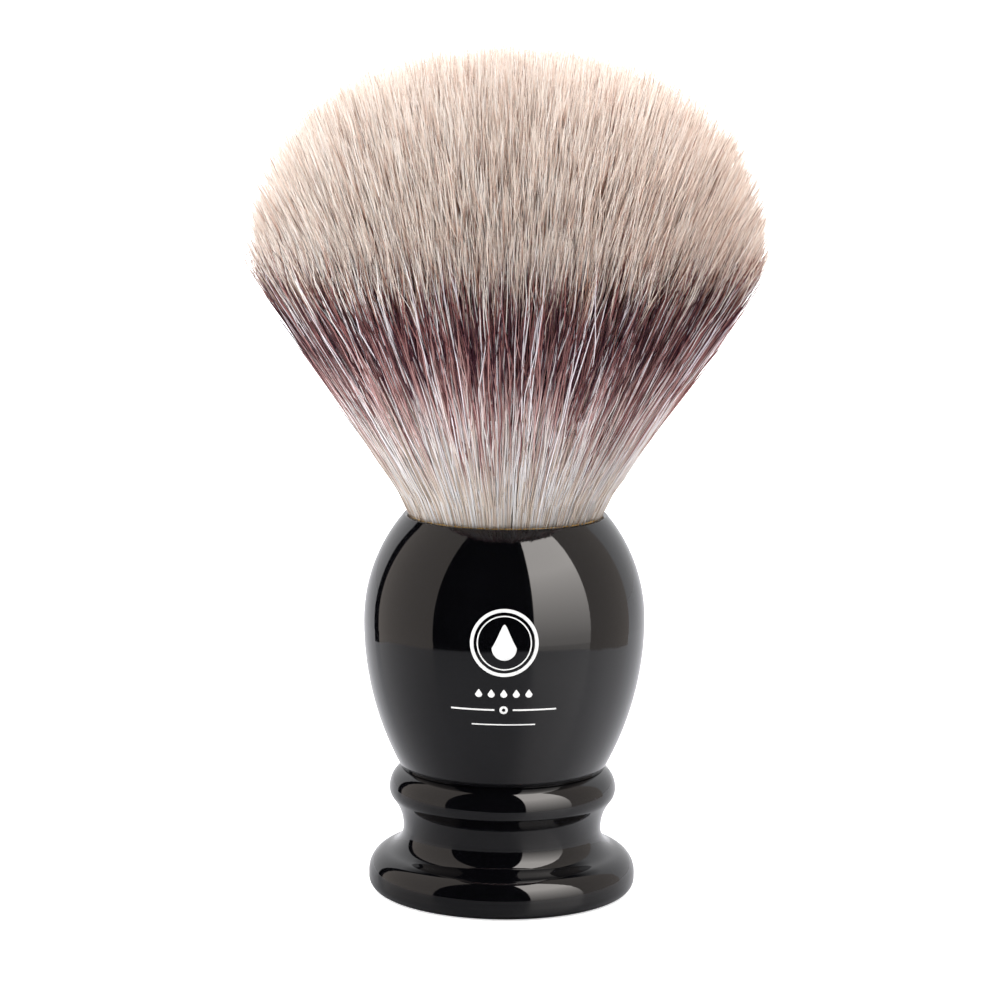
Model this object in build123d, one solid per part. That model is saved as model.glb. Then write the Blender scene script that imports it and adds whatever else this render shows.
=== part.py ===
"""Shaving brush: a turned two-piece resin handle that holds a knot of synthetic fibre.

Millimetres. +Z is up. The origin is the centre of the face that the brush stands on,
and the printed front of the handle faces -Y.
Every piece is turned about the Z axis, so outlines are drawn as (radius, height).
"""

from build123d import *
from math import asin, atan2, cos, degrees, hypot, radians, sin, sqrt
import os

# Foot of the handle: toe, spreading foot, waist, neck and bead, each a round arc
TOE_ROUND = 1.5
FOOT_RADIUS = 16.7
FOOT_ROUND = 3.0
FOOT_SHOULDER_HEIGHT = 2.2
WAIST_RADIUS = 12.4
WAIST_ROUND = 2.8
NECK_ROUND = 6.1
BEAD_RADIUS = 14.2
BEAD_ROUND = 1.95
BEAD_SHOULDER = 2.7
BEAD_LAND_RADIUS = 12.65
BEAD_LAND_BREAK = 0.2

# Shallow dish under the foot, which leaves a ring to stand on
DISH_RADIUS = 12.8
DISH_DEPTH = 0.6
DISH_CHAMFER = 0.3

# Bulb of the handle
BULB_HEIGHT = 31.9
BULB_WIDEST_ABOVE_SEAM = 18.6
BULB_RADIUS = 17.5
BULB_SEAM_RADIUS = 12.7
SEAM_BREAK = 0.35
LIP_WIDTH = 0.75
LIP_BREAK = 0.2

# Joint between the two turned pieces of the handle
SPIGOT_RADIUS = 8.0
SPIGOT_CHAMFER = 0.6
JOINT_GLUE = 0.25

# Socket for the knot
SOCKET_DEPTH = 20.0
SOCKET_FLOOR_WEB = 3.5
SETTING_GLUE = 0.25
SETTING_BED = 0.5
GLUE_LINE_DROP = 0.15

# Knot
KNOT_RADIUS = 11.6
RING_WALL = 0.9
RING_HEIGHT = 7.0
RING_CHAMFER = 0.2
PLUG_HEIGHT = 4.0
THREAD_RADIUS = 0.33
THREAD_TURNS = 4
THREAD_PITCH = 0.7
THREAD_MARGIN = 0.4
ROOT_SPREAD_HEIGHT = 1.5

# Free fibres: the flared head above the mouth
BLOOM_RADIUS = 31.3
BLOOM_WIDEST_ABOVE_MOUTH = 33.0
BLOOM_RIM_ROUND = 8.7
BLOOM_CROWN_RISE = 24.5
BLOOM_CROWN_RADIUS = 46.7
FLEX_RADIUS = 19.5
FLEX_GAP = 0.3

# Room left between pieces that slide into each other
FIT = 0.02


def valley_below(upper_x, upper_round, lower_x, lower_round):
    """Height between the centres of two round arcs that touch."""
    reach = upper_round + lower_round
    return sqrt(reach**2 - (upper_x - lower_x) ** 2)


# Centres of the foot's arcs
FOOT_X = FOOT_RADIUS - FOOT_ROUND
FOOT_CENTRE = (FOOT_X, FOOT_SHOULDER_HEIGHT)
WAIST_X = WAIST_RADIUS + WAIST_ROUND
WAIST_HEIGHT = FOOT_SHOULDER_HEIGHT + valley_below(WAIST_X, WAIST_ROUND, FOOT_X, FOOT_ROUND)
WAIST_CENTRE = (WAIST_X, WAIST_HEIGHT)
NECK_X = WAIST_RADIUS + NECK_ROUND
NECK_CENTRE = (NECK_X, WAIST_HEIGHT)
BEAD_X = BEAD_RADIUS - BEAD_ROUND
BEAD_HEIGHT = WAIST_HEIGHT + valley_below(BEAD_X, BEAD_ROUND, NECK_X, NECK_ROUND)
BEAD_CENTRE = (BEAD_X, BEAD_HEIGHT)

# Heights that follow from the sizes above
SEAM_HEIGHT = BEAD_HEIGHT + BEAD_SHOULDER
MOUTH_HEIGHT = SEAM_HEIGHT + BULB_HEIGHT
SOCKET_FLOOR = MOUTH_HEIGHT - SOCKET_DEPTH
BORE_TOP = SOCKET_FLOOR - SOCKET_FLOOR_WEB
SPIGOT_TOP = BORE_TOP - JOINT_GLUE
KNOT_BOTTOM = SOCKET_FLOOR + SETTING_BED
PLUG_TOP = KNOT_BOTTOM + PLUG_HEIGHT
RING_TOP = KNOT_BOTTOM + RING_HEIGHT
THREAD_BOTTOM = RING_TOP + THREAD_MARGIN
THREAD_TOP = THREAD_BOTTOM + (THREAD_TURNS - 1) * THREAD_PITCH + 2 * THREAD_RADIUS
ROOT_SPREAD_TOP = THREAD_TOP + THREAD_MARGIN + ROOT_SPREAD_HEIGHT

# Radii that follow from the sizes above
BORE_RADIUS = SPIGOT_RADIUS + JOINT_GLUE
SOCKET_RADIUS = KNOT_RADIUS + SETTING_GLUE
MOUTH_RADIUS = SOCKET_RADIUS + LIP_WIDTH
PLUG_RADIUS = KNOT_RADIUS - RING_WALL
TIED_RADIUS = KNOT_RADIUS - 2 * THREAD_RADIUS - FIT

FLEX_CENTRE = (0, 0, MOUTH_HEIGHT)


def on_circle(centre, radius, angle):
    """Point of a circle at an angle in degrees."""
    return (centre[0] + radius * cos(radians(angle)), centre[1] + radius * sin(radians(angle)))


def angle_to(start, end):
    """Angle in degrees of the line from one point to another."""
    return degrees(atan2(end[1] - start[1], end[0] - start[0]))


def turned(*outline):
    """Solid of revolution from a closed outline of radius and height."""
    face = make_face(Plane.XZ * Curve([*outline]))
    return revolve(face, Axis.Z)


def cylinder_between(radius, bottom, top):
    """Upright cylinder from one height to another."""
    return Pos(0, 0, bottom) * Cylinder(radius, top - bottom, align=(Align.CENTER, Align.CENTER, Align.MIN))


def edges_at(shape, height, radius):
    """Round edges of one radius at one height."""
    circles = shape.edges().filter_by(GeomType.CIRCLE)
    at_height = circles.filter_by_position(Axis.Z, height - FIT, height + FIT)
    return [edge for edge in at_height if abs(edge.radius - radius) < FIT]


def bulged_arc(widest_radius, widest_height, end_radius, end_height):
    """Arc that leaves the widest point upright and ends at a smaller radius."""
    inset = widest_radius - end_radius
    rise = end_height - widest_height
    radius = (inset**2 + rise**2) / (2 * inset)
    sweep = degrees(2 * atan2(inset, abs(rise)))
    centre = (widest_radius - radius, widest_height)
    return CenterArc(centre, radius, 0, sweep if rise > 0 else -sweep)


def handle_foot():
    """Foot, waist and bead in one turned piece, with the spigot that goes up into the bulb."""
    foot_to_waist = angle_to(FOOT_CENTRE, WAIST_CENTRE)
    bead_to_neck = angle_to(BEAD_CENTRE, NECK_CENTRE)
    toe_x = FOOT_RADIUS - TOE_ROUND
    body = turned(
        Line((0, 0), (toe_x, 0)),
        CenterArc((toe_x, TOE_ROUND), TOE_ROUND, -90, 90),
        Line((FOOT_RADIUS, TOE_ROUND), (FOOT_RADIUS, FOOT_SHOULDER_HEIGHT)),
        CenterArc(FOOT_CENTRE, FOOT_ROUND, 0, foot_to_waist),
        CenterArc(WAIST_CENTRE, WAIST_ROUND, foot_to_waist + 180, -foot_to_waist),
        CenterArc(NECK_CENTRE, NECK_ROUND, 180, bead_to_neck),
        CenterArc(BEAD_CENTRE, BEAD_ROUND, bead_to_neck, -bead_to_neck),
        bulged_arc(BEAD_RADIUS, BEAD_HEIGHT, BEAD_LAND_RADIUS, SEAM_HEIGHT),
        Line((BEAD_LAND_RADIUS, SEAM_HEIGHT), (0, SEAM_HEIGHT)),
        Line((0, SEAM_HEIGHT), (0, 0)),
    )
    body = fillet(edges_at(body, SEAM_HEIGHT, BEAD_LAND_RADIUS), BEAD_LAND_BREAK)
    spigot = cylinder_between(SPIGOT_RADIUS, SEAM_HEIGHT, SPIGOT_TOP)
    spigot = chamfer(edges_at(spigot, SPIGOT_TOP, SPIGOT_RADIUS), SPIGOT_CHAMFER)
    dish = cylinder_between(DISH_RADIUS, -DISH_DEPTH, DISH_DEPTH)
    dish = chamfer(edges_at(dish, DISH_DEPTH, DISH_RADIUS), DISH_CHAMFER)
    return body + spigot - dish


def handle_bulb():
    """Bulb of the handle, with the knot's socket above and the spigot's bore below."""
    widest = SEAM_HEIGHT + BULB_WIDEST_ABOVE_SEAM
    body = turned(
        Line((0, SEAM_HEIGHT), (BULB_SEAM_RADIUS, SEAM_HEIGHT)),
        bulged_arc(BULB_RADIUS, widest, BULB_SEAM_RADIUS, SEAM_HEIGHT),
        bulged_arc(BULB_RADIUS, widest, MOUTH_RADIUS, MOUTH_HEIGHT),
        Line((MOUTH_RADIUS, MOUTH_HEIGHT), (0, MOUTH_HEIGHT)),
        Line((0, MOUTH_HEIGHT), (0, SEAM_HEIGHT)),
    )
    body = fillet(edges_at(body, SEAM_HEIGHT, BULB_SEAM_RADIUS), SEAM_BREAK)
    body = body - cylinder_between(SOCKET_RADIUS, SOCKET_FLOOR, MOUTH_HEIGHT)
    body = body - cylinder_between(BORE_RADIUS, SEAM_HEIGHT, BORE_TOP)
    lip = edges_at(body, MOUTH_HEIGHT, MOUTH_RADIUS) + edges_at(body, MOUTH_HEIGHT, SOCKET_RADIUS)
    return fillet(lip, LIP_BREAK)


def joint_adhesive():
    """Film of adhesive that fills the bore round and above the spigot."""
    film = cylinder_between(BORE_RADIUS - FIT, SEAM_HEIGHT, BORE_TOP)
    film = film - cylinder_between(SPIGOT_RADIUS + FIT, SEAM_HEIGHT, SPIGOT_TOP)
    return film


def setting_adhesive():
    """Bed and sleeve of adhesive that set the knot in its socket."""
    cup = cylinder_between(SOCKET_RADIUS - FIT, SOCKET_FLOOR, MOUTH_HEIGHT - GLUE_LINE_DROP)
    return cup - cylinder_between(KNOT_RADIUS, KNOT_BOTTOM, MOUTH_HEIGHT)


def knot_ring():
    """Ring round the base of the knot, which the plug is cast in."""
    outer = KNOT_RADIUS - FIT
    ring = cylinder_between(outer, KNOT_BOTTOM, RING_TOP)
    ring = chamfer(edges_at(ring, RING_TOP, outer), RING_CHAMFER)
    return ring - cylinder_between(PLUG_RADIUS, KNOT_BOTTOM, RING_TOP)


def knot_plug():
    """Cast plug that locks the root ends of the fibres together."""
    return cylinder_between(PLUG_RADIUS - FIT, KNOT_BOTTOM, PLUG_TOP)


def tie_thread():
    """Turns of binding thread, each a closed ring, drawn tight above the ring."""
    turn = Torus(TIED_RADIUS + THREAD_RADIUS, THREAD_RADIUS)
    first = THREAD_BOTTOM + THREAD_RADIUS
    return Compound([Pos(0, 0, first + n * THREAD_PITCH) * turn for n in range(THREAD_TURNS)])


def fibre_envelope():
    """Outer shape of the free fibres, from the mouth to the tips."""
    widest = MOUTH_HEIGHT + BLOOM_WIDEST_ABOVE_MOUTH
    top = widest + BLOOM_CROWN_RISE
    rim_centre = (BLOOM_RADIUS - BLOOM_RIM_ROUND, widest)
    mouth = (KNOT_RADIUS, MOUTH_HEIGHT)
    to_rim = hypot(rim_centre[0] - mouth[0], rim_centre[1] - mouth[1])
    flare = angle_to(mouth, rim_centre) - degrees(asin(BLOOM_RIM_ROUND / to_rim))
    rim_start = flare - 90
    crown_centre = (0, top - BLOOM_CROWN_RADIUS)
    spare = 2 * BLOOM_CROWN_RADIUS * BLOOM_CROWN_RISE - BLOOM_RADIUS**2 - BLOOM_CROWN_RISE**2
    shoulder_round = spare / (2 * (BLOOM_CROWN_RADIUS - BLOOM_RADIUS))
    shoulder_centre = (BLOOM_RADIUS - shoulder_round, widest)
    shoulder_end = angle_to(crown_centre, shoulder_centre)
    return turned(
        Line((0, MOUTH_HEIGHT), mouth),
        Line(mouth, on_circle(rim_centre, BLOOM_RIM_ROUND, rim_start)),
        CenterArc(rim_centre, BLOOM_RIM_ROUND, rim_start, -rim_start),
        CenterArc(shoulder_centre, shoulder_round, 0, shoulder_end),
        CenterArc(crown_centre, BLOOM_CROWN_RADIUS, shoulder_end, 90 - shoulder_end),
        Line((0, top), (0, MOUTH_HEIGHT)),
    )


def fibre_roots():
    """Gripped fibres in the socket, and the stiff base above the mouth with a domed top."""
    waist = TIED_RADIUS - FIT
    in_ring = PLUG_RADIUS - FIT
    grip = KNOT_RADIUS - FIT
    spread_bottom = ROOT_SPREAD_TOP - ROOT_SPREAD_HEIGHT
    gripped = turned(
        Line((0, PLUG_TOP), (in_ring, PLUG_TOP)),
        Line((in_ring, PLUG_TOP), (in_ring, RING_TOP)),
        Line((in_ring, RING_TOP), (waist, THREAD_BOTTOM)),
        Line((waist, THREAD_BOTTOM), (waist, spread_bottom)),
        Line((waist, spread_bottom), (grip, ROOT_SPREAD_TOP)),
        Line((grip, ROOT_SPREAD_TOP), (grip, MOUTH_HEIGHT)),
        Line((grip, MOUTH_HEIGHT), (0, MOUTH_HEIGHT)),
        Line((0, MOUTH_HEIGHT), (0, PLUG_TOP)),
    )
    base = fibre_envelope() & Pos(*FLEX_CENTRE) * Sphere(FLEX_RADIUS)
    return gripped + base


def fibre_bloom():
    """Flexing head of fibres, hollowed underneath so that it leans over the domed roots."""
    return fibre_envelope() - Pos(*FLEX_CENTRE) * Sphere(FLEX_RADIUS + FLEX_GAP)


PIECES = [
    handle_foot,
    handle_bulb,
    joint_adhesive,
    setting_adhesive,
    knot_ring,
    knot_plug,
    tie_thread,
    fibre_roots,
    fibre_bloom,
]

os.makedirs("parts", exist_ok=True)
for make_piece in PIECES:
    export_step(make_piece(), f"parts/{make_piece.__name__}.step")
print(f"mouth {MOUTH_HEIGHT:.3f}, seam {SEAM_HEIGHT:.3f}, flex centre {FLEX_CENTRE[2]:.3f}")
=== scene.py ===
# %% [markdown]
# # A shaving brush, finished in Blender
# The turned handle, the knot's ring and the adhesive already exist as exact solids, made in a CAD
# program. This lesson loads them as a fixed frame, gives each a real finish, and grows the fibres
# that no solid can show. Everything is in metres, with +Z up and the printed front facing -Y.

# %% Load the frame
from math import pi, radians

import bmesh
import bpy
import numpy as np
from mathutils import Matrix, Vector
from mathutils.bvhtree import BVHTree


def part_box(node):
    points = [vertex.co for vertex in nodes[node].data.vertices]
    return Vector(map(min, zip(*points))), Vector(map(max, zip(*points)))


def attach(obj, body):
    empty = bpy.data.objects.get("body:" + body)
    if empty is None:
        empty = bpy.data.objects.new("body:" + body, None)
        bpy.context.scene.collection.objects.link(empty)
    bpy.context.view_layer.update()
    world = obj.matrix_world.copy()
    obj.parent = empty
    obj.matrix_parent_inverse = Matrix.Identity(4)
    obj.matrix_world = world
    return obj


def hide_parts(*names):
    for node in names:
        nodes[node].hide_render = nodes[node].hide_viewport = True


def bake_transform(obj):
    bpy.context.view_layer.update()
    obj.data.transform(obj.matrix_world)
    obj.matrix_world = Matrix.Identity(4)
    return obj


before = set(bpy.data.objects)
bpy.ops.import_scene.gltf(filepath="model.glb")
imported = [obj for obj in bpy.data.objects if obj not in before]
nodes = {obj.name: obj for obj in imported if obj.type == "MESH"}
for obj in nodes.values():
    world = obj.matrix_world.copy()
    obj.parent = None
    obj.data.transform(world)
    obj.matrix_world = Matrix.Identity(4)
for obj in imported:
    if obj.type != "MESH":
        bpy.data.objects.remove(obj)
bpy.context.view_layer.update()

MM = 0.001
print("pieces from the CAD:", ", ".join(sorted(nodes)))

# %% [markdown]
# ## Camera
# The brush is looked at from a little above, through a long lens, so that the handle keeps its
# proportions. The camera is rolled by half a degree, which leans the brush by that much.

# %% Place the camera
CAMERA_SIDE = -0.7 * MM
CAMERA_DISTANCE = 400.75 * MM
CAMERA_HEIGHT = 112.0 * MM
CAMERA_TILT = radians(8.91)
CAMERA_ROLL = radians(0.62)
CAMERA_LENS = 117.95

lens = bpy.data.cameras.new("camera")
lens.lens = CAMERA_LENS
lens.clip_start = 0.01
camera = bpy.data.objects.new("camera", lens)
bpy.context.scene.collection.objects.link(camera)
looking = Matrix.Rotation(pi / 2 - CAMERA_TILT, 4, "X") @ Matrix.Rotation(CAMERA_ROLL, 4, "Z")
camera.matrix_world = Matrix.Translation((CAMERA_SIDE, -CAMERA_DISTANCE, CAMERA_HEIGHT)) @ looking
bpy.context.scene.camera = camera
bpy.context.scene.view_settings.view_transform = "Standard"
bpy.context.scene.cycles.diffuse_bounces = 8
print(f"camera at {camera.location * 1000}, lens {CAMERA_LENS} mm")

# %% [markdown]
# ## Short helpers
# New pieces start as a bmesh and end as an object that sits at the origin. Materials are built
# from nodes, so two small helpers add a node and make a colour ramp.

# %% Helpers for meshes
def new_piece(name, bm, material, smooth=True):
    """Object at the origin from a bmesh, shaded smooth or flat."""
    mesh = bpy.data.meshes.new(name)
    bm.to_mesh(mesh)
    bm.free()
    mesh.polygons.foreach_set("use_smooth", [smooth] * len(mesh.polygons))
    mesh.materials.append(material)
    piece = bpy.data.objects.new(name, mesh)
    bpy.context.scene.collection.objects.link(piece)
    return piece


# %% Helpers for materials
def new_material(name):
    """Material with a Principled shader, its node tree and that shader."""
    material = bpy.data.materials.new(name)
    material.use_nodes = True
    tree = material.node_tree
    return material, tree, tree.nodes["Principled BSDF"]


def add_node(tree, kind, settings=(), **inputs):
    """Node of one kind, with its settings and its input values or links."""
    node = tree.nodes.new(kind)
    for key, value in dict(settings).items():
        setattr(node, key, value)
    for key, value in inputs.items():
        socket = node.inputs[key.replace("_", " ")]
        if isinstance(value, bpy.types.NodeSocket):
            tree.links.new(value, socket)
        else:
            socket.default_value = value
    return node


def ramp(tree, factor, stops, interpolation="LINEAR"):
    """Colour ramp from (position, colour) stops. Returns its colour socket."""
    node = tree.nodes.new("ShaderNodeValToRGB")
    node.color_ramp.interpolation = interpolation
    elements = node.color_ramp.elements
    while len(elements) < len(stops):
        elements.new(0.5)
    for element, (position, colour) in zip(elements, stops):
        element.position = position
        element.color = (*colour, 1.0)
    tree.links.new(factor, node.inputs["Fac"])
    return node.outputs["Color"]


# %% [markdown]
# ## Studio
# Black gloss has almost no colour of its own: what it shows is the room. The soft light comes
# from the world, which is dim on the camera's side and bright behind the brush, so that the
# pale tips glow against it. What the gloss mirrors is set apart from that light, with cards
# round the brush: two dim warm ones at the sides, a tall bright one to the right of the camera,
# and a black one between. The cards are seen only in reflections, so they throw no light and no
# shadow on the fibres. To the camera itself, the world is plain white.

# %% World
FRONT_LIGHT = 0.9
BACK_LIGHT = 4.8
BRIGHT_SIDE = (-0.15, 0.99, 0.0)
DIM_UP_TO = -0.85
BRIGHT_FROM = 0.15
WHITE = (1.0, 1.0, 1.0, 1.0)
world = bpy.data.worlds.new("studio")
bpy.context.scene.world = world
world.use_nodes = True
tree = world.node_tree
ray = tree.nodes.new("ShaderNodeLightPath").outputs
towards = tree.nodes.new("ShaderNodeTexCoord").outputs["Generated"]
height = add_node(tree, "ShaderNodeSeparateXYZ", Vector=towards).outputs["Z"]
facing = add_node(tree, "ShaderNodeVectorMath", {"operation": "DOT_PRODUCT"})
tree.links.new(towards, facing.inputs[0])
facing.inputs[1].default_value = BRIGHT_SIDE
behind = add_node(tree, "ShaderNodeMapRange", Value=facing.outputs["Value"], From_Min=DIM_UP_TO,
                  From_Max=BRIGHT_FROM, To_Min=FRONT_LIGHT, To_Max=BACK_LIGHT)
ceiling = ramp(tree, height, [(0.62, (0.95, 0.95, 0.97)), (0.80, (0.0, 0.0, 0.0))])
mirrored = add_node(tree, "ShaderNodeMix", {"data_type": "RGBA"})
tree.links.new(ray["Is Glossy Ray"], mirrored.inputs["Factor"])
tree.links.new(behind.outputs["Result"], mirrored.inputs[6])
tree.links.new(ceiling, mirrored.inputs[7])
seen = add_node(tree, "ShaderNodeMix", {"data_type": "RGBA"})
tree.links.new(ray["Is Camera Ray"], seen.inputs["Factor"])
tree.links.new(mirrored.outputs[2], seen.inputs[6])
seen.inputs[7].default_value = WHITE
tree.links.new(seen.outputs[2], tree.nodes["Background"].inputs["Color"])
print(f"world: {FRONT_LIGHT} in front, {BACK_LIGHT} behind, and a black ceiling in reflections")

# %% Cards that only reflections show
CARD_DISTANCE = 150 * MM
CARD_HEIGHT = 430 * MM
CARD_STEPS = 24


def card(name, colour, low, high, left, right):
    """Upright card between two azimuths in degrees. 0 is the camera's side, and + is right.

    Its radiance goes from low at the floor to high at a third of its height."""
    material, tree, shader = new_material(name)
    place = tree.nodes.new("ShaderNodeTexCoord").outputs["Object"]
    rise = add_node(tree, "ShaderNodeSeparateXYZ", Vector=place).outputs["Z"]
    glow = add_node(tree, "ShaderNodeMapRange", Value=rise, From_Min=0.0, From_Max=CARD_HEIGHT / 3,
                    To_Min=low, To_Max=high)
    tree.links.new(glow.outputs["Result"], shader.inputs["Emission Strength"])
    shader.inputs["Emission Color"].default_value = (*colour, 1.0)
    shader.inputs["Base Color"].default_value = (0, 0, 0, 1)
    shader.inputs["Specular IOR Level"].default_value = 0.0
    bm = bmesh.new()
    foot = bm.verts.new((0, -CARD_DISTANCE, 0))
    turned = Matrix.Rotation(radians(left), 4, "Z")
    bmesh.ops.transform(bm, matrix=turned, verts=bm.verts)
    bmesh.ops.spin(bm, geom=[foot], axis=(0, 0, 1), cent=(0, 0, 0), steps=CARD_STEPS,
                   angle=radians(right - left))
    sides = bmesh.ops.extrude_edge_only(bm, edges=bm.edges)["geom"]
    raised = [v for v in sides if isinstance(v, bmesh.types.BMVert)]
    bmesh.ops.translate(bm, vec=(0, 0, CARD_HEIGHT), verts=raised)
    standing = new_piece(name, bm, material)
    standing.visible_camera = False
    standing.visible_diffuse = False
    standing.visible_shadow = False


WARM = (1.0, 0.90, 0.83)
card("dim_card_left", WARM, 0.9, 0.9, -118, -56.5)
card("black_card", (0, 0, 0), 0.0, 0.0, -56.5, 22.5)
card("bright_card", (1.0, 0.95, 0.91), 1.4, 7.4, 22.5, 70)
card("dim_card_right", WARM, 0.75, 0.75, 70, 116)
card("black_strip", (0, 0, 0), 0.0, 0.0, -126, -118)

# %% Overhead softbox
SOFTBOX_SIDE = 0.8
SOFTBOX_POWER = 1.4
SOFTBOX_PLACE = (0, -0.2, 0.9)
overhead = bpy.data.lights.new("overhead_softbox", "AREA")
overhead.size = SOFTBOX_SIDE
overhead.energy = SOFTBOX_POWER
top_light = bpy.data.objects.new("overhead_softbox", overhead)
top_light.location = SOFTBOX_PLACE
top_light.visible_glossy = False
bpy.context.scene.collection.objects.link(top_light)
print(f"studio: 5 cards and a softbox of {SOFTBOX_POWER} W")

# %% [markdown]
# ## Floor
# The floor is one pale satin sheet, so wide that it fills the frame behind the brush. What the
# camera sees of it is lifted towards white. What the gloss mirrors is painted much darker: a
# painted shade, deepest on the camera's side, that keeps the lower half of the bulb black.

# %% Lay the floor
FLOOR_SIDE = 80.0
DARK_SIDE = (-0.45, -0.89, 0.0)
PALE_UP_TO = -0.4
DARK_FROM = 0.85
CAMERA_LIFT = 0.6
floor_paint, tree, shader = new_material("pale_floor")
ray = tree.nodes.new("ShaderNodeLightPath").outputs
place = tree.nodes.new("ShaderNodeTexCoord").outputs["Object"]
grain = add_node(tree, "ShaderNodeTexNoise", Vector=place, Scale=6.0, Detail=3.0)
tint = ramp(tree, grain.outputs["Fac"], [(0.35, (0.84, 0.84, 0.84)), (0.65, (0.87, 0.87, 0.87))])
shaded = add_node(tree, "ShaderNodeMix", {"data_type": "RGBA"})
tree.links.new(ray["Is Glossy Ray"], shaded.inputs["Factor"])
tree.links.new(tint, shaded.inputs[6])
outward = add_node(tree, "ShaderNodeVectorMath", {"operation": "NORMALIZE"}, Vector=place)
near = add_node(tree, "ShaderNodeVectorMath", {"operation": "DOT_PRODUCT"})
tree.links.new(outward.outputs["Vector"], near.inputs[0])
near.inputs[1].default_value = DARK_SIDE
turned = add_node(tree, "ShaderNodeMapRange", Value=near.outputs["Value"], From_Min=PALE_UP_TO,
                  From_Max=DARK_FROM)
# Painted shade: what the gloss mirrors of the floor is dark grey, darkest on the camera's side.
painted_shade_greys = [(0.0, (0.33, 0.33, 0.345)), (1.0, (0.150, 0.150, 0.158))]
mirrored = ramp(tree, turned.outputs["Result"], painted_shade_greys)
tree.links.new(mirrored, shaded.inputs[7])
tree.links.new(shaded.outputs[2], shader.inputs["Base Color"])
lift = add_node(tree, "ShaderNodeMath", {"operation": "MULTIPLY"})
tree.links.new(ray["Is Camera Ray"], lift.inputs[0])
lift.inputs[1].default_value = CAMERA_LIFT
tree.links.new(lift.outputs[0], shader.inputs["Emission Strength"])
shader.inputs["Emission Color"].default_value = WHITE
shader.inputs["Roughness"].default_value = 0.32
bm = bmesh.new()
bmesh.ops.create_grid(bm, x_segments=1, y_segments=1, size=FLOOR_SIDE / 2)
floor = new_piece("floor", bm, floor_paint, smooth=False)
print(f"floor {FLOOR_SIDE} m square")

# %% [markdown]
# ## Polished resin
# The handle is cast resin, turned and then buffed to a mirror. A real one is never quite
# perfect: the colour has faint clouds, and the buffing wheel leaves fine rings round the piece.
# The clouds feed the base colour, and the rings feed the roughness and a very small bump.

# %% Resin material
def resin_material():
    """Black gloss with faint clouds and buffing rings."""
    material, tree, shader = new_material("black_resin")
    place = tree.nodes.new("ShaderNodeTexCoord").outputs["Object"]
    clouds = add_node(tree, "ShaderNodeTexNoise", Vector=place, Scale=90.0, Detail=4.0)
    stops = [(0.3, (0.0008, 0.0008, 0.0011)), (0.75, (0.0016, 0.0016, 0.0021))]
    tree.links.new(ramp(tree, clouds.outputs["Fac"], stops), shader.inputs["Base Color"])
    squeeze = add_node(tree, "ShaderNodeMapping", Vector=place, Scale=(60.0, 60.0, 2600.0))
    rings = add_node(tree, "ShaderNodeTexNoise", Vector=squeeze.outputs["Vector"], Scale=1.0,
                     Detail=2.0)
    fine = add_node(tree, "ShaderNodeMapRange", Value=rings.outputs["Fac"], To_Min=0.025,
                    To_Max=0.06)
    tree.links.new(fine.outputs["Result"], shader.inputs["Roughness"])
    lift = add_node(tree, "ShaderNodeBump", Height=rings.outputs["Fac"], Strength=0.02,
                    Distance=0.02 * MM)
    tree.links.new(lift.outputs["Normal"], shader.inputs["Normal"])
    shader.inputs["IOR"].default_value = 1.5
    return material


resin = resin_material()
for name in ("handle_foot", "handle_bulb"):
    nodes[name].material_slots[0].material = resin
print("resin on the foot and the bulb")

# %% [markdown]
# ## Adhesive, ring and thread
# These pieces sit inside the handle. They are still given their own finishes, because the model
# may be opened up: amber epoxy with bubbles, a moulded ring, and a thread with a twist.

# %% Hidden finishes
def epoxy_material():
    """Amber epoxy with small bubbles."""
    material, tree, shader = new_material("amber_epoxy")
    place = tree.nodes.new("ShaderNodeTexCoord").outputs["Object"]
    bubbles = add_node(tree, "ShaderNodeTexVoronoi", Vector=place, Scale=1800.0)
    stops = [(0.05, (0.62, 0.44, 0.20)), (0.4, (0.42, 0.26, 0.09))]
    tree.links.new(ramp(tree, bubbles.outputs["Distance"], stops), shader.inputs["Base Color"])
    shader.inputs["Roughness"].default_value = 0.18
    return material


def ring_material():
    """Pale moulded plastic with a fine grain."""
    material, tree, shader = new_material("moulded_ring")
    place = tree.nodes.new("ShaderNodeTexCoord").outputs["Object"]
    speckle = add_node(tree, "ShaderNodeTexNoise", Vector=place, Scale=2500.0, Detail=3.0)
    stops = [(0.3, (0.62, 0.60, 0.55)), (0.7, (0.70, 0.68, 0.63))]
    tree.links.new(ramp(tree, speckle.outputs["Fac"], stops), shader.inputs["Base Color"])
    lift = add_node(tree, "ShaderNodeBump", Height=speckle.outputs["Fac"], Strength=0.3,
                    Distance=0.03 * MM)
    tree.links.new(lift.outputs["Normal"], shader.inputs["Normal"])
    shader.inputs["Roughness"].default_value = 0.5
    return material


def thread_material():
    """Waxed thread with a slanting twist."""
    material, tree, shader = new_material("waxed_thread")
    place = tree.nodes.new("ShaderNodeTexCoord").outputs["Object"]
    lean = add_node(tree, "ShaderNodeMapping", Vector=place, Rotation=(0.6, 0.6, 0.0))
    twist = add_node(tree, "ShaderNodeTexWave", Vector=lean.outputs["Vector"], Scale=1400.0,
                     Distortion=1.5)
    stops = [(0.2, (0.42, 0.37, 0.29)), (0.8, (0.66, 0.61, 0.52))]
    tree.links.new(ramp(tree, twist.outputs["Color"], stops), shader.inputs["Base Color"])
    lift = add_node(tree, "ShaderNodeBump", Height=twist.outputs["Fac"], Strength=0.6,
                    Distance=0.05 * MM)
    tree.links.new(lift.outputs["Normal"], shader.inputs["Normal"])
    shader.inputs["Roughness"].default_value = 0.6
    return material


epoxy = epoxy_material()
hidden = {
    "joint_adhesive": epoxy,
    "setting_adhesive": epoxy,
    "knot_plug": epoxy,
    "knot_ring": ring_material(),
    "tie_thread": thread_material(),
}
for name, material in hidden.items():
    nodes[name].material_slots[0].material = material
print("finishes on", ", ".join(hidden))

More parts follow.
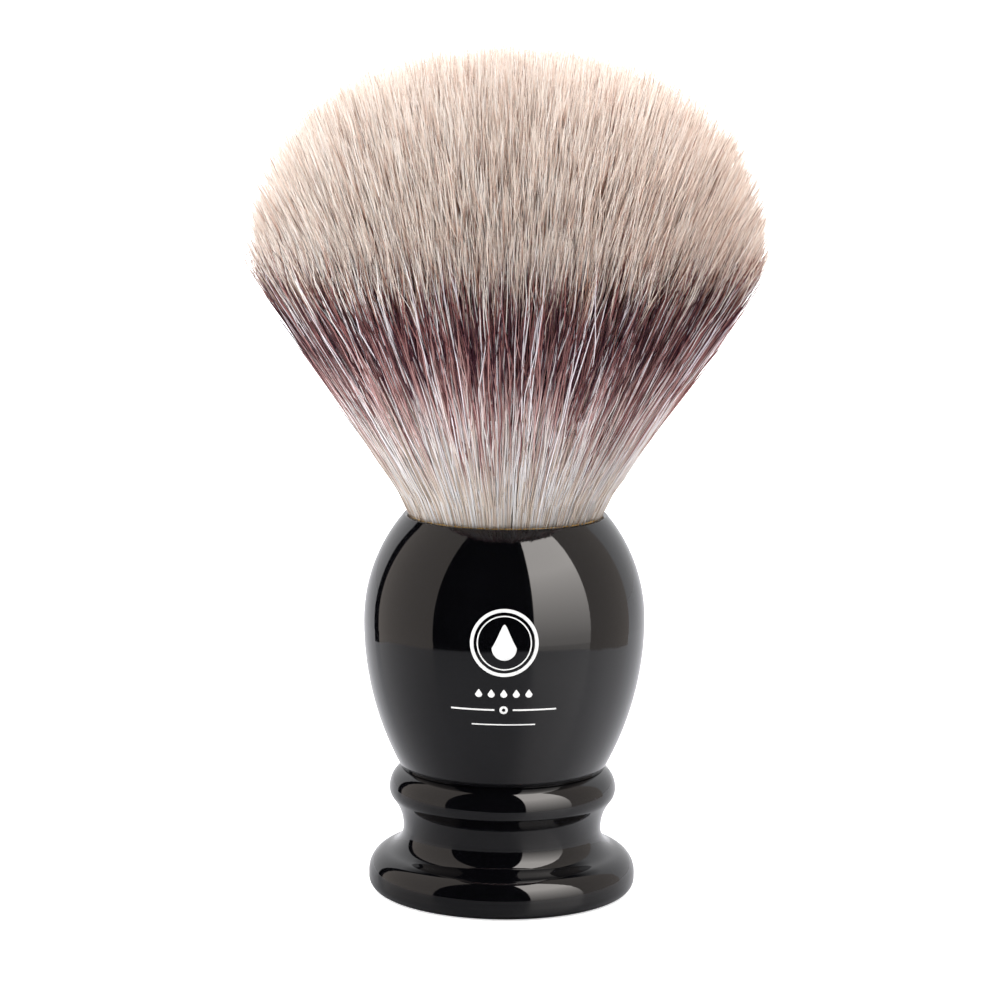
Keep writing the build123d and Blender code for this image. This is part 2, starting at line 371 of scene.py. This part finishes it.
# %% [markdown]
# ## Shape of the knot
# The CAD holds the fibres as one solid. Its outline is measured with horizontal rays, so that
# the fibres fill the same shape. A fibre that starts at a share of the mouth's radius keeps
# that share of the outline all the way up, and ends where it meets the crown.

# %% Measure the outline
_, bloom_top_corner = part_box("fibre_bloom")
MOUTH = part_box("handle_bulb")[1].z
TOP = bloom_top_corner.z
BLOOM_RADIUS = bloom_top_corner.x
ROOT_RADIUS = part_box("setting_adhesive")[1].x - 0.35 * MM


def cad_tree(*names):
    """Ray-casting tree of some CAD nodes."""
    bm = bmesh.new()
    for name in names:
        bm.from_mesh(nodes[name].data)
    found = BVHTree.FromBMesh(bm)
    bm.free()
    return found


bloom_tree = cad_tree("fibre_bloom", "fibre_roots")
heights = np.linspace(MOUTH + 0.05 * MM, TOP - 0.02 * MM, 160)
outline = []
for z in heights:
    hit = bloom_tree.ray_cast(Vector((0.1, 0, z)), Vector((-1, 0, 0)))[0]
    outline.append(hit.x if hit else 0.0)
outline = np.array(outline)
WIDEST = heights[int(outline.argmax())]
print(f"mouth {MOUTH * 1000:.1f}, widest {WIDEST * 1000:.1f}, top {TOP * 1000:.1f} mm")

# %% How a fibre runs
STRAIGHT_FROM = MOUTH + 8 * MM
STRAIGHT_TO = MOUTH + 22 * MM
RIM_SHARE = 0.12
SPLAY_ROOM = 0.8 * MM
flare_ends = np.interp([STRAIGHT_FROM, STRAIGHT_TO], heights, outline)
FLARE = (flare_ends[1] - flare_ends[0]) / (STRAIGHT_TO - STRAIGHT_FROM)
print(f"the cone opens by {np.degrees(np.arctan(FLARE)):.1f} degrees")


def smooth(x):
    """Eases from 0 to 1."""
    x = np.clip(x, 0, 1)
    return x * x * (3 - 2 * x)


def fibre_radius(share, z, splay=0.0):
    """Radius of a fibre at a height. Inner and splayed fibres run straight, the others bend in."""
    skin = np.where(z < WIDEST, np.interp(z, heights, outline), BLOOM_RADIUS + 0.3 * (z - WIDEST))
    straight = np.where(z < STRAIGHT_TO, skin, flare_ends[1] + 0.95 * FLARE * (z - STRAIGHT_TO))
    inner = np.maximum(smooth((1 - share) / RIM_SHARE), splay)
    return share * (skin * (1 - inner) + straight * inner)


def end_height(share, splay=0.0):
    """Height at which a fibre with this share of the radius meets the crown."""
    grid = np.linspace(0, 1, 120)
    upper = heights[heights >= STRAIGHT_TO]
    room = np.interp(upper, heights, outline) + 0.001 * MM
    room = room + splay * SPLAY_ROOM
    ends = [upper[fibre_radius(s, upper, splay) <= room].max() for s in grid]
    return np.interp(share, grid, ends)


def way_along(share, z):
    """Distance from the mouth along a fibre, in millimetres."""
    return np.hypot(z - MOUTH, fibre_radius(share, z) - share * ROOT_RADIUS) / MM


# %% [markdown]
# ## Colour of the fibres
# Each fibre is pale grey at the root, dark in a band, and ivory at the tip. The colour reads
# the fibre's own map: U is the tone of the strand, and V is the distance along it. Four tones
# are mixed: banded, pale, reddish and dark, so that light strands cross the dark band. Some of
# the light goes through a fibre, which makes the crown glow from behind. The colour stops are
# in millimetres from the mouth.

# %% Fibre material
LONGEST = 64.0
TONE_COUNT = 64
LET_THROUGH = 0.35
TONES = {"banded": 30, "pale": 15, "reddish": 11, "dark": 8}
BANDED = [
    (0, (0.64, 0.58, 0.53)),
    (4, (0.67, 0.65, 0.665)),
    (15, (0.80, 0.74, 0.73)),
    (19, (0.60, 0.44, 0.44)),
    (23, (0.060, 0.015, 0.027)),
    (32, (0.050, 0.011, 0.021)),
    (37, (0.21, 0.11, 0.11)),
    (42, (0.57, 0.44, 0.39)),
    (50, (0.84, 0.73, 0.655)),
    (64, (0.88, 0.80, 0.735)),
]
PALE = [
    (0, (0.70, 0.65, 0.60)),
    (4, (0.73, 0.72, 0.73)),
    (20, (0.80, 0.74, 0.77)),
    (30, (0.73, 0.67, 0.72)),
    (38, (0.86, 0.80, 0.78)),
    (64, (0.90, 0.85, 0.80)),
]
# Past the band, the reddish and dark tones stay dark into the crown: partly their own colour, partly
# painted shade for the strands that end deep in it.
REDDISH = [
    (0, (0.63, 0.53, 0.45)),
    (6, (0.65, 0.57, 0.52)),
    (19, (0.54, 0.32, 0.31)),
    (32, (0.31, 0.11, 0.11)),
    (40, (0.34, 0.17, 0.14)),
    (50, (0.56, 0.36, 0.28)),
    (62, (0.84, 0.73, 0.65)),
]
DARK = [
    (0, (0.56, 0.45, 0.37)),
    (8, (0.58, 0.48, 0.42)),
    (16, (0.24, 0.10, 0.10)),
    (42, (0.035, 0.009, 0.012)),
    (50, (0.18, 0.08, 0.06)),
    (62, (0.74, 0.60, 0.51)),
]


def band_colours(tree, along, stops):
    """Colour ramp whose stops are given in millimetres from the mouth."""
    return ramp(tree, along, [(mm / LONGEST, colour) for mm, colour in stops])


def fibre_material():
    """Banded fibre whose tone and bands come from its own map."""
    material, tree, shader = new_material("banded_fibre")
    strand = add_node(tree, "ShaderNodeUVMap", {"uv_map": "OFBake"})
    parts = add_node(tree, "ShaderNodeSeparateXYZ", Vector=strand.outputs["UV"])
    tone, along = parts.outputs["X"], parts.outputs["Y"]
    colour = band_colours(tree, along, BANDED)
    start = 0
    for share, stops in zip(list(TONES.values()), (PALE, REDDISH, DARK)):
        start += share
        past = add_node(tree, "ShaderNodeMath", {"operation": "GREATER_THAN"})
        tree.links.new(tone, past.inputs[0])
        past.inputs[1].default_value = start / TONE_COUNT
        mix = add_node(tree, "ShaderNodeMix", {"data_type": "RGBA"})
        tree.links.new(past.outputs[0], mix.inputs["Factor"])
        tree.links.new(colour, mix.inputs[6])
        tree.links.new(band_colours(tree, along, stops), mix.inputs[7])
        colour = mix.outputs[2]
    chance = add_node(tree, "ShaderNodeTexNoise", {"noise_dimensions": "1D"}, W=tone, Scale=45.0,
                      Detail=0.0)
    stops = [(0.25, (0.86, 0.85, 0.83)), (0.75, (1.05, 1.06, 1.07))]
    shade = ramp(tree, chance.outputs["Fac"], stops)
    mottled = add_node(tree, "ShaderNodeMix", {"data_type": "RGBA", "blend_type": "MULTIPLY"},
                       Factor=1.0)
    tree.links.new(colour, mottled.inputs[6])
    tree.links.new(shade, mottled.inputs[7])
    tree.links.new(mottled.outputs[2], shader.inputs["Base Color"])
    shader.inputs["Roughness"].default_value = 0.4
    shader.inputs["Specular IOR Level"].default_value = 0.28
    through = add_node(tree, "ShaderNodeBsdfTranslucent", Color=mottled.outputs[2])
    both = add_node(tree, "ShaderNodeMixShader", Fac=LET_THROUGH)
    tree.links.new(shader.outputs["BSDF"], both.inputs[1])
    tree.links.new(through.outputs["BSDF"], both.inputs[2])
    tree.links.new(both.outputs["Shader"], tree.nodes["Material Output"].inputs["Surface"])
    return material


fibre = fibre_material()
print(f"strands of each tone, of {TONE_COUNT}:", TONES)

# %% [markdown]
# ## One fibre, then thousands
# One fibre is modelled as a three-sided rod with a few rings along it. An Array modifier
# repeats it, and each copy is then laid along its own path and thinned towards its tip.
# Modelling them one by one would take minutes, and this takes a second or two.

# %% Model one fibre
FIBRE_SIDES = 3


def one_fibre(rings):
    """Closed rod of height 1 and radius 1, cut into rings along its height."""
    bm = bmesh.new()
    bmesh.ops.create_cone(bm, segments=FIBRE_SIDES, radius1=1, radius2=1, depth=1, cap_ends=True)
    bmesh.ops.translate(bm, vec=(0, 0, 0.5), verts=bm.verts)
    for n in range(1, rings):
        whole = bm.verts[:] + bm.edges[:] + bm.faces[:]
        bmesh.ops.bisect_plane(bm, geom=whole, plane_co=(0, 0, n / rings), plane_no=(0, 0, 1))
    return bm


def repeated(name, bm, count):
    """Mesh object with this many copies of a bmesh, one after the other."""
    piece = new_piece(name, bm, fibre)
    array = piece.modifiers.new("repeat", "ARRAY")
    array.count = count
    array.use_relative_offset = False
    bpy.context.view_layer.update()
    seen = piece.evaluated_get(bpy.context.evaluated_depsgraph_get())
    many = bpy.data.meshes.new_from_object(seen)
    single = piece.data
    piece.modifiers.clear()
    piece.data = many
    bpy.data.meshes.remove(single)
    many.name = name
    return piece


# %% How one group of fibres is scattered
WILD = 0.16
DRIFT = radians(4.6)
WILD_DRIFT = radians(13.0)
CLUMPS = 420
CLUMP_SEED = 7
CLUMP_PULL = (0.1, 0.62)


def scatter(rng, count, low, high):
    """Shares of the radius and turns round the axis, even over the ring between two shares."""
    return np.sqrt(rng.uniform(low**2, high**2, count)), rng.uniform(0, 2 * pi, count)


def clumped(share, turn):
    """How far the tip of each fibre is drawn in and round, to the middle of the nearest clump.

    Every group draws the same clumps, so that its fibres gather with those of the others."""
    rng = np.random.default_rng(CLUMP_SEED)
    middle_share, middle_turn = scatter(rng, CLUMPS, 0, 1)
    middles = middle_share * np.exp(1j * middle_turn)
    tips = share * np.exp(1j * turn)
    nearest = np.abs(tips[:, None] - middles[None, :]).argmin(axis=1)
    pull = rng.uniform(*CLUMP_PULL, CLUMPS)[nearest]
    drawn = tips + pull * (middles[nearest] - tips)
    return np.abs(drawn) - share, np.angle(drawn / tips)


def drifted(rng, count, stray):
    """How far each fibre drifts round and in or out on its way up, and how much it waves."""
    wild = rng.random(count) < stray
    turn = rng.normal(0, 1, count) * np.where(wild, WILD_DRIFT, DRIFT)
    inward = rng.normal(0, 1, count) * np.where(wild, 0.05, 0.020)
    wave = rng.uniform(0.10, 0.45, count) * np.where(wild, 1.7, 1.0) * MM
    return turn, inward, wave


# %% Where the fibres end, how they wave and how they thin
SPLAYED = 0.75
TIP_SHORTFALL = 1.9 * MM
TIP_OVERSHOOT = 1.4 * MM
WAVE_PITCH = (9, 20)
TAPER_LENGTH = 7 * MM
SLIM_TIP = 0.16
POINT = 0.08


def ended(rng, share, short):
    """Splay of each fibre, height of its tip, and how far it stops below the others."""
    count = len(share)
    splay = np.where(rng.random(count) < SPLAYED, rng.uniform(0.3, 1, count), 0)
    splay = np.ones(count) if short else splay
    crown = end_height(share) * (1 - splay) + end_height(share, 1.0) * splay
    crown = crown - short * rng.random(count)
    shortfall = rng.exponential(TIP_SHORTFALL, count) * (0.5 + share**2)
    top = crown + TIP_OVERSHOOT * rng.uniform(0.2, 1, count) - shortfall
    return splay, top, shortfall


def waved(rng, z, bend):
    """Sideways and outward wave of each fibre at its rings. Each has its own pitch and phase."""
    pitch = rng.uniform(*WAVE_PITCH, len(z))[:, None] * MM
    phase = rng.uniform(0, 2 * pi, (2, len(z)))
    side = bend * np.sin(2 * pi * z / pitch + phase[0][:, None])
    out = 0.6 * bend * np.sin(2 * pi * z / pitch + phase[1][:, None])
    return side, out


def thinned(rng, thickness, from_tip, last):
    """Radius of each fibre at its rings. It is slim near the tip and ends almost in a point."""
    slim = SLIM_TIP + (1 - SLIM_TIP) * np.clip(from_tip / TAPER_LENGTH, 0, 1) ** 0.8
    each = rng.uniform(0.75, 1.25, len(from_tip))[:, None]
    return thickness * each * np.where(last, POINT, slim)


# %% Tone and bands of each fibre
BAND_END = 34.0
TIP_MARK = 58.0
UNEVEN = 2.8
DEEP_TIP = 2.4 * MM


def stretched(along, length):
    """Distance along a fibre in mm, stretched above the band so that every tip is pale."""
    above_band = (TIP_MARK - BAND_END) / np.maximum(length - BAND_END, 5.0)
    return np.where(along > BAND_END, BAND_END + (along - BAND_END) * above_band[:, None], along)


def drawn_tones(rng, shortfall, share):
    """Tone of each strand. Those that end deep in the crown are more often reddish or dark, which
    paints shade deep in the crown.
    """
    count = len(shortfall)
    drawn = rng.integers(0, TONE_COUNT, count)
    shaded = rng.integers(TONES["banded"] + TONES["pale"], TONE_COUNT, count)
    # Painted shade: strands whose tips end deep in the crown get the reddish or dark tones.
    deep = (shortfall > DEEP_TIP) & (rng.random(count) < 0.8 * share**2)
    return (np.where(deep, shaded, drawn) + 0.5) / TONE_COUNT


def paint_strands(mesh, tone, shape, along):
    """Writes each strand's tone and distance to its own map."""
    u = tone[:, None] + 0.4 / TONE_COUNT * shape[:, 0][None, :]
    v = along / LONGEST
    chart = np.stack([u, np.clip(v, 0.002, 0.998)], axis=2).reshape(-1, 2)
    corners = np.empty(len(mesh.loops), np.int32)
    mesh.loops.foreach_get("vertex_index", corners)
    layer = mesh.uv_layers.new(name="OFBake")
    layer.data.foreach_set("uv", chart[corners].astype(np.float32).ravel())


# %% Lay the copies along their paths
ROOT_SINK = 1.0 * MM
SKIN_INSET = 0.12 * MM


def lay_fibres(name, count, rings, seed, shares, length, thickness, stray=WILD, short=0.0, lean=0.0):
    """Fibres of a length with roots spread between two shares of the mouth, as one piece.

    Stray is the part of them that runs wild, short the most that a tip stops below the crown,
    and lean the most that it leans out."""
    rng = np.random.default_rng(seed)
    template = one_fibre(rings)
    shape = np.array([v.co for v in template.verts])
    piece = repeated(name, template, count)
    share, turn = scatter(rng, count, *shares)
    drift, inward, wave = drifted(rng, count, stray)
    gathered_in, gathered_round = clumped(share, turn)
    splay, top, shortfall = ended(rng, share, short)
    bottom = np.maximum(MOUTH - ROOT_SINK, top - length * rng.uniform(0.9, 1.1, count))
    t = shape[:, 2][None, :]
    z = bottom[:, None] + (top - bottom)[:, None] * t
    above = np.maximum(z, MOUTH)
    far = (above - MOUTH) / (TOP - MOUTH)
    near_tip = far**3
    s = np.clip(share[:, None] + inward[:, None] * far + gathered_in[:, None] * near_tip, 0, 1.0)
    angle = turn[:, None] + drift[:, None] * far + gathered_round[:, None] * near_tip
    side, out = waved(rng, z, wave[:, None] * far**0.5)
    thick = thinned(rng, thickness, top[:, None] - z, t > 0.99)
    out = out + lean * rng.random(count)[:, None] * t**2
    radius = fibre_radius(s, above, splay[:, None]) + out - SKIN_INSET + thick * shape[:, 0][None, :]
    side = side + thick * shape[:, 1][None, :]
    x = radius * np.cos(angle) - side * np.sin(angle)
    y = radius * np.sin(angle) + side * np.cos(angle)
    mesh = piece.data
    mesh.vertices.foreach_set("co", np.stack([x, y, z], axis=2).astype(np.float32).ravel())
    uneven = rng.normal(0, UNEVEN, count)
    along = way_along(s, above) + uneven[:, None]
    tone = drawn_tones(rng, shortfall, share)
    paint_strands(mesh, tone, shape, stretched(along, way_along(share, top) + uneven))
    mesh.polygons.foreach_set("use_smooth", [True] * len(mesh.polygons))
    mesh.update()
    return piece


# %% [markdown]
# ## Grow the knot
# The outer fibres run all the way from the mouth, because they are seen from end to end. The
# inner ones are hidden lower down, so only their upper part is made. A few stray fibres cross
# the others, and short ones lean out at the rim, which softens the outline. The large groups
# are split into a few pieces each, which keeps every piece small enough to handle.

# %% Grow it
WHOLE = 80 * MM
knot = []
for n in range(2):
    name = f"outer_fibres_{n + 1}"
    knot.append(lay_fibres(name, 3900, 8, 10 + n, (0.87, 1.0), WHOLE, 0.088 * MM))
for n in range(6):
    name = f"inner_fibres_{n + 1}"
    knot.append(lay_fibres(name, 7000, 4, 20 + n, (0.0, 0.95), 16 * MM, 0.095 * MM))
knot.append(lay_fibres("stray_fibres", 600, 12, 40, (0.96, 1.0), WHOLE, 0.08 * MM,
                       stray=0.9, lean=1.0 * MM))
knot.append(lay_fibres("rim_fibres", 1500, 6, 50, (0.94, 1.0), 24 * MM, 0.08 * MM,
                       stray=0.3, short=6 * MM, lean=1.7 * MM))
triangles = sum(len(p.data.loops) - 2 * len(p.data.polygons) for p in knot)
print(f"{len(knot)} pieces of fibre, {triangles} triangles")

# %% [markdown]
# ## Depth of the knot
# Between the fibres one looks into more fibres, not through the knot. A closed core just under
# the surface stands for them. It is spun from the measured outline and carries the same bands,
# darker, as they are in the shade.

# %% Core material
def core_material():
    """Shaded bands, read from the core's own map."""
    material, tree, shader = new_material("fibre_depth")
    strand = add_node(tree, "ShaderNodeUVMap", {"uv_map": "OFBake"})
    parts = add_node(tree, "ShaderNodeSeparateXYZ", Vector=strand.outputs["UV"])
    shade = [
        (0, (0.68, 0.54, 0.43)),
        (11, (0.68, 0.55, 0.46)),
        (18, (0.34, 0.18, 0.17)),
        (23, (0.035, 0.012, 0.018)),
        (32, (0.030, 0.010, 0.015)),
        (38, (0.22, 0.12, 0.10)),
        (48, (0.46, 0.33, 0.26)),
        (64, (0.60, 0.47, 0.39)),
    ]
    colour = band_colours(tree, parts.outputs["Y"], shade)
    tree.links.new(colour, shader.inputs["Base Color"])
    shader.inputs["Roughness"].default_value = 0.8
    return material


# %% Spin the core
CORE_SHARE = 0.88
CORE_DEPTH = 6 * MM
CORE_STEPS = 96
plug_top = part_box("knot_plug")[1].z
core_share = np.linspace(0, CORE_SHARE, 16)
core_top = end_height(core_share) - CORE_DEPTH
bm = bmesh.new()
profile = [(float(fibre_radius(s, z)), z) for s, z in zip(core_share, core_top)]
sides = np.linspace(core_top[-1], MOUTH, 14)[1:]
profile += [(float(fibre_radius(CORE_SHARE, z)), z) for z in sides]
profile += [(CORE_SHARE * ROOT_RADIUS, plug_top), (0, plug_top)]
line = [bm.verts.new((r, 0, z)) for r, z in profile]
edges = [bm.edges.new(pair) for pair in zip(line, line[1:])]
bmesh.ops.spin(bm, geom=line + edges, axis=(0, 0, 1), cent=(0, 0, 0), steps=CORE_STEPS,
               angle=2 * pi, use_merge=True)
bmesh.ops.remove_doubles(bm, verts=bm.verts, dist=0.01 * MM)
bmesh.ops.recalc_face_normals(bm, faces=bm.faces)
layer = bm.loops.layers.uv.new("OFBake")
for face in bm.faces:
    for corner in face.loops:
        place = corner.vert.co
        r = np.hypot(place.x, place.y)
        z = max(place.z, MOUTH)
        share = min(1.0, r / float(fibre_radius(1.0, z)))
        turn = (np.arctan2(place.y, place.x) / (2 * pi)) % 1.0
        corner[layer].uv = (turn, float(way_along(share, z)) / LONGEST)
core = new_piece("fibre_core", bm, core_material())
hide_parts("fibre_roots", "fibre_bloom")
knot.append(core)
print(f"core {len(core.data.polygons)} faces")

# %% Bake each piece's placement into its mesh
for piece in knot:
    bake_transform(piece)
print(f"{len(knot)} pieces bend between the handle and the head")

# %% [markdown]
# ## Glue line
# Where the fibres leave the handle, a thin line of adhesive has crept up against them. It is a
# small ring with a five-cornered section, spun round the axis.

# %% Spin the glue line
GLUE_RISE = 0.14 * MM
socket_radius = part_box("setting_adhesive")[1].x
bm = bmesh.new()
section = [(ROOT_RADIUS, -0.2 * MM), (socket_radius, -0.12 * MM), (socket_radius + 0.2 * MM, 0.0),
           (socket_radius + 0.1 * MM, 0.09 * MM), (ROOT_RADIUS, GLUE_RISE)]
corners = [bm.verts.new((r, 0, MOUTH + h)) for r, h in section]
edges = [bm.edges.new((corners[n], corners[(n + 1) % len(corners)])) for n in range(len(corners))]
bmesh.ops.spin(bm, geom=corners + edges, axis=(0, 0, 1), cent=(0, 0, 0), steps=128, angle=2 * pi,
               use_merge=True)
bmesh.ops.remove_doubles(bm, verts=bm.verts, dist=0.001 * MM)
bmesh.ops.recalc_face_normals(bm, faces=bm.faces)
glue_line = new_piece("glue_line", bm, epoxy)
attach(glue_line, "handle")
print("glue line", round(GLUE_RISE / MM, 2), "mm proud")

# %% [markdown]
# ## Printed mark
# The front of the bulb carries a small pale print. It is drawn flat, as a ring, a drop and a few
# plain rules, then laid on the curved bulb with rays from the front, and given the thickness
# of a coat of ink.

# %% Draw the mark flat
MARK_HEIGHT = 34.6 * MM
MARK_RADIUS = 4.1 * MM


def upright(x, z):
    """Matrix that stands a flat shape in the XZ plane."""
    return Matrix.Translation((x, 0, z)) @ Matrix.Rotation(pi / 2, 4, "X")


def flat_ring(bm, outer, inner, x, z, segments=96):
    """Flat ring."""
    rims = [bmesh.ops.create_circle(bm, segments=segments, radius=r, matrix=upright(x, z))
            for r in (outer, inner)]
    edges = list({e for rim in rims for v in rim["verts"] for e in v.link_edges})
    bmesh.ops.bridge_loops(bm, edges=edges)


def flat_drop(bm, radius, x, z, point=0.9, segments=48):
    """Filled drop: a disc whose upper half is drawn up to a point."""
    drop = bmesh.new()
    bmesh.ops.create_circle(drop, cap_ends=True, cap_tris=True, segments=segments, radius=1)
    bmesh.ops.subdivide_edges(drop, edges=drop.edges, cuts=3, use_grid_fill=True)
    for v in drop.verts:
        rise = max(0.0, v.co.y)
        v.co.x *= 1 - 0.55 * rise
        v.co.y += point * rise**2
    bmesh.ops.transform(drop, matrix=upright(x, z) @ Matrix.Scale(radius, 4), verts=drop.verts)
    flat = bpy.data.meshes.new("drop")
    drop.to_mesh(flat)
    drop.free()
    bm.from_mesh(flat)
    bpy.data.meshes.remove(flat)


def flat_rule(bm, width, height, x, z, cuts=24):
    """Filled strip with cuts across it, so that it can follow a curve."""
    place = upright(x, z) @ Matrix.Diagonal((width, height, 1, 1))
    bmesh.ops.create_grid(bm, x_segments=cuts, y_segments=2, size=0.5, matrix=place)


bm = bmesh.new()
flat_ring(bm, MARK_RADIUS, MARK_RADIUS - 0.42 * MM, 0, MARK_HEIGHT)
flat_ring(bm, MARK_RADIUS - 0.8 * MM, MARK_RADIUS - 0.95 * MM, 0, MARK_HEIGHT)
flat_drop(bm, 1.5 * MM, 0, MARK_HEIGHT - 0.6 * MM)
for step in range(-2, 3):
    flat_drop(bm, 0.42 * MM, step * 1.5 * MM, MARK_HEIGHT - 6.3 * MM, 0.4, 24)
for side in (-1, 1):
    flat_rule(bm, 5.2 * MM, 0.2 * MM, side * 3.7 * MM, MARK_HEIGHT - 8.3 * MM)
flat_ring(bm, 0.5 * MM, 0.22 * MM, 0, MARK_HEIGHT - 8.3 * MM, 32)
flat_rule(bm, 7.6 * MM, 0.15 * MM, 0, MARK_HEIGHT - 10.2 * MM)
print(f"flat mark of {len(bm.faces)} faces")


# %% Lay it on the bulb
def ink_material():
    """Pale ink, a little uneven."""
    material, tree, shader = new_material("printed_ink")
    place = tree.nodes.new("ShaderNodeTexCoord").outputs["Object"]
    patch = add_node(tree, "ShaderNodeTexNoise", Vector=place, Scale=2200.0, Detail=4.0)
    stops = [(0.3, (0.47, 0.47, 0.47)), (0.6, (0.56, 0.56, 0.55))]
    tree.links.new(ramp(tree, patch.outputs["Fac"], stops), shader.inputs["Base Color"])
    shader.inputs["Roughness"].default_value = 0.4
    return material


INK_THICKNESS = 0.03 * MM
OFF_THE_SEAM = 0.003 * MM
bulb_tree = cad_tree("handle_bulb")
for v in bm.verts:
    start = Vector((v.co.x + OFF_THE_SEAM, -0.1, v.co.z + OFF_THE_SEAM))
    hit, normal, _, _ = bulb_tree.ray_cast(start, Vector((0, 1, 0)))
    v.co = hit + normal * INK_THICKNESS
bmesh.ops.recalc_face_normals(bm, faces=bm.faces)
for face in bm.faces:
    if face.normal.y > 0:
        face.normal_flip()
mark = new_piece("printed_mark", bm, ink_material())
coat = mark.modifiers.new("coat", "SOLIDIFY")
coat.thickness = INK_THICKNESS
coat.offset = -1
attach(mark, "handle")
print(f"printed mark of {len(mark.data.polygons)} faces")
